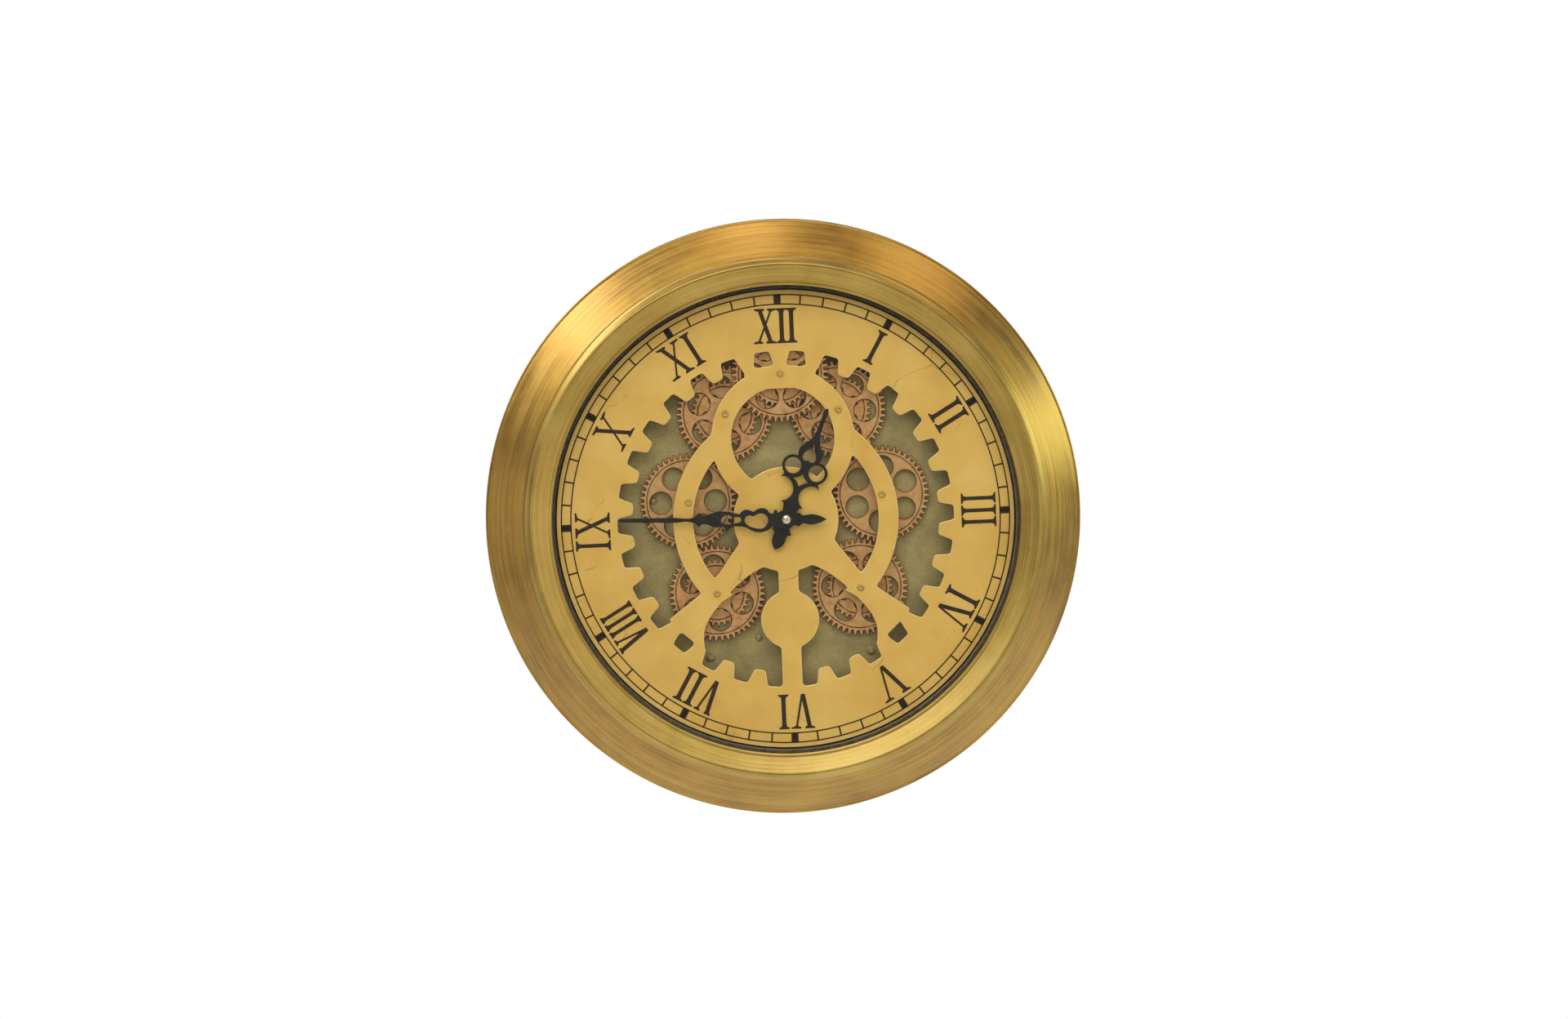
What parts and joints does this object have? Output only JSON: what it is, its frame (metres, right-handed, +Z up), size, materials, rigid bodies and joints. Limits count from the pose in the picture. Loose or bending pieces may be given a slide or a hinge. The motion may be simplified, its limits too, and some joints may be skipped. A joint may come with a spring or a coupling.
{
  "type": "wall clock",
  "caption": "Round brass ship's deck clock with a skeleton dial over copper gears, push-on bezel with glass, spade-style black hands and a quartz movement behind.",
  "frame": {"origin": "centre of the back cover's outer face, on the wall plane", "axes": "+Z up, the dial faces -Y, +X to the viewer's right"},
  "size_m": [0.305, 0.043, 0.305],
  "materials": {
    "brass": "spun and lathe-polished brass, aged, satin",
    "dial_brass": "printed gold lacquered brass sheet with black numerals, fine scratches",
    "copper": "stamped copper-plated sheet with dark patina in the engraved lines",
    "olive_plate": "mottled olive-grey paint, matt",
    "steel": "zinc-plated steel, satin",
    "cap_silver": "polished nickel-plated cap",
    "black_hands": "black stoved paint on stamped steel, satin",
    "rubber": "black-brown rubber, matt",
    "glass": "clear flat mineral glass",
    "black_plastic": "moulded black plastic, fine texture",
    "white_plastic": "moulded natural plastic gear stock",
    "circuit_board": "green solder-masked board",
    "battery_jacket": "plain printed sleeve",
    "coil_wire": "enamelled copper winding, wound tight"
  },
  "bodies": {
    "case": {"case_shell": "brass", "bushing_nut": "brass", "backplate_pillar_1": "brass", "backplate_pillar_2": "brass", "backplate_pillar_3": "brass", "backplate_pillar_4": "brass", "dial_plate": "dial_brass", "backplate": "olive_plate", "dial_drum": "steel", "back_cover": "steel", "hanger_plate": "steel", "cover_screw_1": "steel", "cover_screw_2": "steel", "cover_screw_3": "steel", "cover_screw_4": "steel", "arbor_top": "steel", "arbor_left_side": "steel", "arbor_left_upper": "steel", "arbor_left_lower": "steel", "arbor_right_side": "steel", "arbor_right_upper": "steel", "arbor_right_lower": "steel", "stator": "steel", "contact_positive": "steel", "contact_negative": "steel", "movement_case": "black_plastic", "movement_cover": "black_plastic", "circuit_board": "circuit_board", "battery": "battery_jacket", "coil": "coil_wire"},
    "bezel_unit": {"bezel": "brass", "glass": "glass", "glass_gasket": "rubber", "glass_retaining_ring": "brass"},
    "minute_unit": {"minute_hand": "black_hands", "hand_cap": "cap_silver", "centre_wheel": "white_plastic"},
    "hour_unit": {"hour_hand": "black_hands", "hour_wheel": "white_plastic"},
    "minute_wheel_unit": {"minute_wheel": "white_plastic"},
    "set_knob_unit": {"set_knob": "white_plastic"},
    "rotor_unit": {"rotor": "steel"},
    "intermediate_unit": {"intermediate_wheel": "white_plastic"},
    "fourth_unit": {"fourth_wheel": "white_plastic"},
    "third_unit": {"third_wheel": "white_plastic"},
    "gear_top_unit": {"gear_top": "copper", "rear_gear_top": "copper"},
    "gear_left_side_unit": {"gear_left_side": "copper"},
    "gear_left_upper_unit": {"gear_left_upper": "copper", "rear_gear_left_upper": "copper"},
    "gear_left_lower_unit": {"gear_left_lower": "copper", "rear_gear_left_lower": "copper"},
    "gear_right_side_unit": {"gear_right_side": "copper"},
    "gear_right_upper_unit": {"gear_right_upper": "copper", "rear_gear_right_upper": "copper"},
    "gear_right_lower_unit": {"gear_right_lower": "copper", "rear_gear_right_lower": "copper"}
  },
  "joints": [
    {"name": "bezel_pull", "type": "slide", "parent": "case", "child": "bezel_unit", "axis": [0, -1, 0], "range_m": [0, 0.012]},
    {"name": "minute_hand_turn", "type": "hinge", "parent": "case", "child": "minute_unit", "pos_m": [0, 0, 0], "axis": [0, 1, 0], "continuous": true},
    {"name": "hour_hand_turn", "type": "hinge", "parent": "case", "child": "hour_unit", "pos_m": [0, 0, 0], "axis": [0, 1, 0], "continuous": true},
    {"name": "minute_wheel_turn", "type": "hinge", "parent": "case", "child": "minute_wheel_unit", "pos_m": [-0.00892, 0, 0.00515], "axis": [0, 1, 0], "continuous": true},
    {"name": "set_knob_turn", "type": "hinge", "parent": "case", "child": "set_knob_unit", "pos_m": [-0.01784, 0, 0.0103], "axis": [0, 1, 0], "continuous": true},
    {"name": "intermediate_wheel_turn", "type": "hinge", "parent": "case", "child": "intermediate_unit", "pos_m": [0.00089, 0, 0.01645], "axis": [0, 1, 0], "continuous": true},
    {"name": "rotor_turn", "type": "hinge", "parent": "case", "child": "rotor_unit", "pos_m": [-0.00541, 0, 0.01645], "axis": [0, 1, 0], "continuous": true},
    {"name": "fourth_wheel_turn", "type": "hinge", "parent": "case", "child": "fourth_unit", "pos_m": [0.00847, 0, 0.01511], "axis": [0, 1, 0], "continuous": true},
    {"name": "third_wheel_turn", "type": "hinge", "parent": "case", "child": "third_unit", "pos_m": [0.00991, 0, 0.00694], "axis": [0, 1, 0], "continuous": true},
    {"name": "gear_top_turn", "type": "hinge", "parent": "case", "child": "gear_top_unit", "pos_m": [0, 0, 0.0736], "axis": [0, 1, 0], "continuous": true},
    {"name": "gear_left_side_turn", "type": "hinge", "parent": "case", "child": "gear_left_side_unit", "pos_m": [-0.0489, 0, 0.0105], "axis": [0, 1, 0], "continuous": true},
    {"name": "gear_left_upper_turn", "type": "hinge", "parent": "case", "child": "gear_left_upper_unit", "pos_m": [-0.02856, 0, 0.05431], "axis": [0, 1, 0], "continuous": true},
    {"name": "gear_left_lower_turn", "type": "hinge", "parent": "case", "child": "gear_left_lower_unit", "pos_m": [-0.03624, 0, -0.03611], "axis": [0, 1, 0], "continuous": true},
    {"name": "gear_right_side_turn", "type": "hinge", "parent": "case", "child": "gear_right_side_unit", "pos_m": [0.0489, 0, 0.0105], "axis": [0, 1, 0], "continuous": true},
    {"name": "gear_right_upper_turn", "type": "hinge", "parent": "case", "child": "gear_right_upper_unit", "pos_m": [0.02856, 0, 0.05431], "axis": [0, 1, 0], "continuous": true},
    {"name": "gear_right_lower_turn", "type": "hinge", "parent": "case", "child": "gear_right_lower_unit", "pos_m": [0.03624, 0, -0.03611], "axis": [0, 1, 0], "continuous": true}
  ],
  "couplings": [
    {"joint": "hour_hand_turn", "follows": "minute_hand_turn", "ratio": 0.083333},
    {"joint": "minute_wheel_turn", "follows": "minute_hand_turn", "ratio": -0.33333},
    {"joint": "set_knob_turn", "follows": "minute_hand_turn", "ratio": 1},
    {"joint": "intermediate_wheel_turn", "follows": "rotor_turn", "ratio": -0.13333},
    {"joint": "fourth_wheel_turn", "follows": "rotor_turn", "ratio": 0.033333},
    {"joint": "third_wheel_turn", "follows": "rotor_turn", "ratio": -0.0044444},
    {"joint": "gear_left_upper_turn", "follows": "gear_left_side_turn", "ratio": -1},
    {"joint": "gear_left_lower_turn", "follows": "gear_left_side_turn", "ratio": -1},
    {"joint": "gear_right_upper_turn", "follows": "gear_right_side_turn", "ratio": -1},
    {"joint": "gear_right_lower_turn", "follows": "gear_right_side_turn", "ratio": -1}
  ]
}
